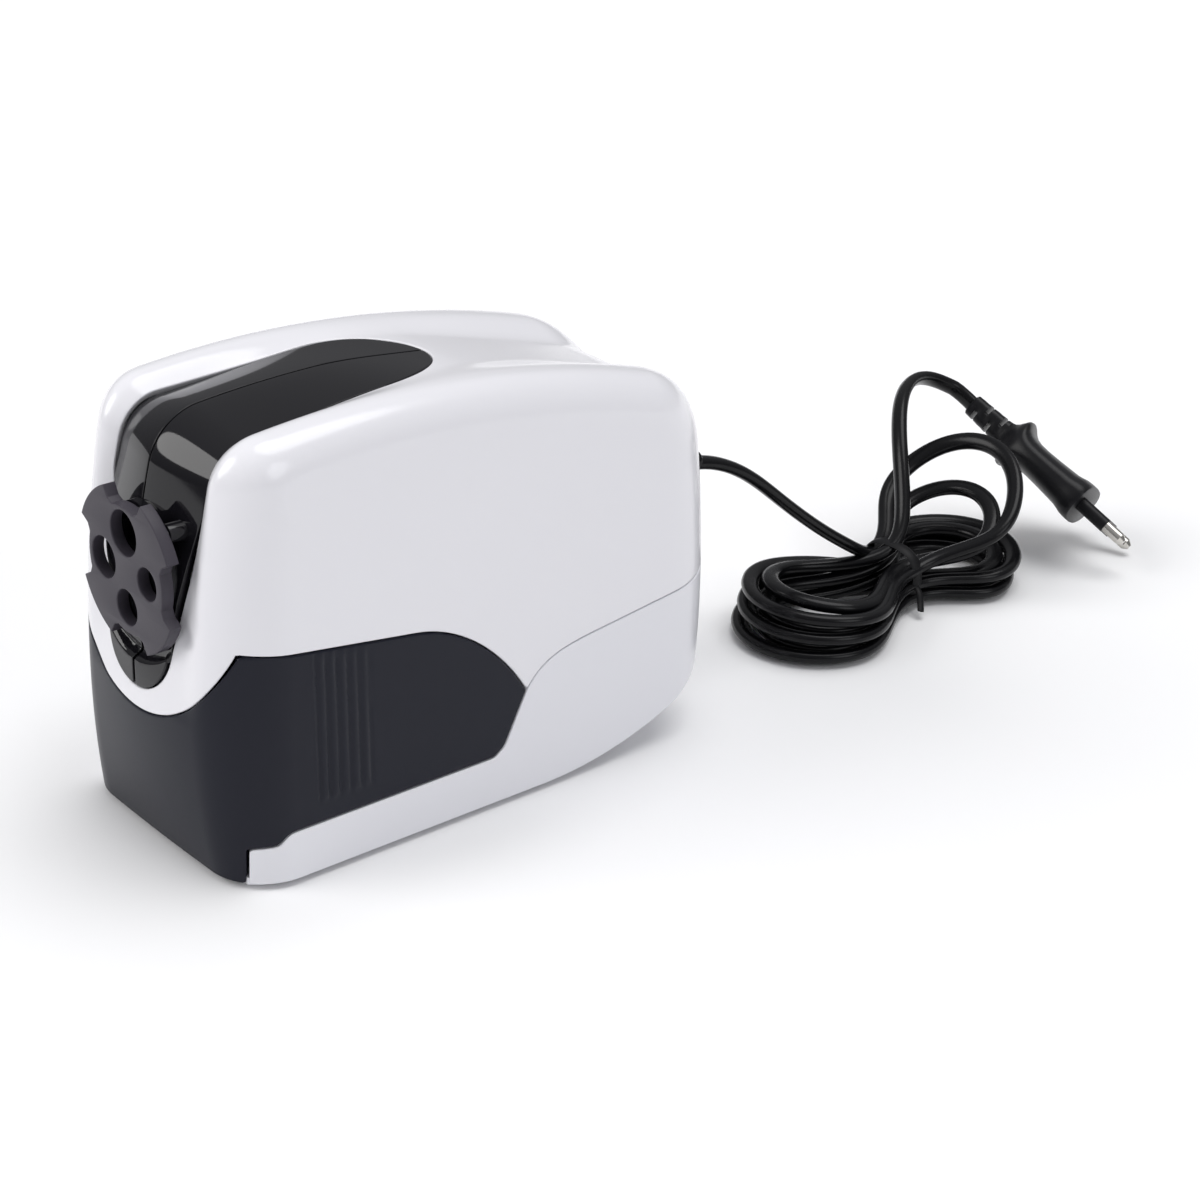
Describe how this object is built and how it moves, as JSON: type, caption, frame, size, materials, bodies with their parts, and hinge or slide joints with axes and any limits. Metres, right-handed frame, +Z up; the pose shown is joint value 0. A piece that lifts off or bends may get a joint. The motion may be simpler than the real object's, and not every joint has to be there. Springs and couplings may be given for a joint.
{
  "type": "electric pencil sharpener",
  "caption": "Mains electric pencil sharpener: rounded white housing with a black front strip, a turnable hole dial, a dark shavings drawer and a bundled lead with plug.",
  "frame": {"origin": "bottom centre of the sharpener on the table, its lead left out", "axes": "+Z up, the dial faces -Y and the lead leaves at +Y, +X is the sharpener's right seen from behind"},
  "size_m": [0.0863, 0.3555, 0.1196],
  "materials": {
    "white_shell": "fine satin",
    "base_shell": "fine satin",
    "black_gloss": "polished",
    "dial_grey": "fine grain",
    "drawer_navy": "translucent dark, polished",
    "rubber_black": "matt",
    "steel": "bright",
    "zinc_plate": "zinc plated",
    "nylon": "moulded",
    "black_plastic": "moulded",
    "cast_metal": "die cast",
    "tool_steel": "ground",
    "brass": "turned",
    "lamination": "stacked sheet",
    "winding": "enamelled wire",
    "red_plastic": "moulded",
    "cord_black": "semi gloss",
    "tie_black": "wire tie",
    "plug_black": "moulded",
    "nickel": "nickel plated"
  },
  "bodies": {
    "housing": {"upper_housing": "white_shell", "lower_housing": "base_shell", "front_insert": "black_gloss", "detent_spring": "steel", "rubber_feet": "rubber_black", "housing_screws": "steel", "front_frame": "zinc_plate", "pencil_guide": "black_plastic", "ring_gear": "zinc_plate", "lever_pin": "steel", "start_switch": "black_plastic", "gear_plate": "zinc_plate", "carrier_bush": "brass", "compound_shaft": "steel", "motor_plate": "zinc_plate", "plate_spacers": "steel", "stator_core": "lamination", "field_coil": "winding", "front_bracket": "cast_metal", "rear_bracket": "cast_metal", "motor_bolts": "steel", "interlock_switch": "black_plastic", "terminal_block": "nylon", "strain_relief": "cord_black", "power_cord": "cord_black", "cord_hank": "cord_black", "cord_tie": "tie_black", "plug_lead": "cord_black", "plug_body": "plug_black", "plug_sleeves": "plug_black", "plug_pins": "nickel"},
    "drawer": {"shavings_drawer": "drawer_navy"},
    "dial": {"selector_dial": "dial_grey", "dial_clip": "steel"},
    "ball": {"detent_ball": "steel"},
    "lever": {"start_lever": "nylon"},
    "plunger": {"interlock_plunger": "red_plastic"},
    "head": {"cutter_carrier": "cast_metal", "main_gear": "nylon", "cutter_pin": "steel"},
    "cutter": {"helical_cutter": "tool_steel", "cutter_pinion": "brass"},
    "compound": {"compound_gear": "nylon"},
    "rotor": {"motor_shaft": "steel", "rotor_core": "lamination", "cooling_fan": "nylon", "motor_pinion": "brass"}
  },
  "joints": [
    {"name": "drawer_slide", "type": "slide", "parent": "housing", "child": "drawer", "axis": [0, -1, 0], "range_m": [0, 0.12]},
    {"name": "dial_turn", "type": "hinge", "parent": "housing", "child": "dial", "pos_m": [0, -0.0845, 0.0787], "axis": [0, -1, 0], "continuous": true},
    {"name": "detent_ball_press", "type": "slide", "parent": "housing", "child": "ball", "axis": [0, 1, 0], "range_m": [0, 0.0004], "stiffness_N_per_m": 400, "springref_m": -0.0005},
    {"name": "start_lever_tilt", "type": "hinge", "parent": "housing", "child": "lever", "pos_m": [0.013, -0.0728, 0.0749], "axis": [0, 1, 0], "range_deg": [0, 4.5], "stiffness_Nm_per_rad": 0.02, "springref_deg": -2.86},
    {"name": "interlock_press", "type": "slide", "parent": "housing", "child": "plunger", "axis": [0, 1, 0], "range_m": [0, 0.0006], "stiffness_N_per_m": 400, "springref_m": -0.0005},
    {"name": "rotor_spin", "type": "hinge", "parent": "housing", "child": "rotor", "pos_m": [0, 0.02, 0.056], "axis": [0, 1, 0], "continuous": true},
    {"name": "compound_spin", "type": "hinge", "parent": "housing", "child": "compound", "pos_m": [0.01169, -0.0145, 0.06969], "axis": [0, 1, 0], "continuous": true},
    {"name": "head_spin", "type": "hinge", "parent": "housing", "child": "head", "pos_m": [0, -0.03, 0.0888], "axis": [0, 1, 0], "continuous": true},
    {"name": "cutter_spin", "type": "hinge", "parent": "head", "child": "cutter", "pos_m": [0, -0.0645, 0.1008], "axis": [0, 0.9863, -0.165], "continuous": true}
  ],
  "couplings": [
    {"joint": "compound_spin", "follows": "rotor_spin", "ratio": -0.2},
    {"joint": "head_spin", "follows": "rotor_spin", "ratio": 0.054545},
    {"joint": "cutter_spin", "follows": "rotor_spin", "ratio": -0.19091}
  ]
}
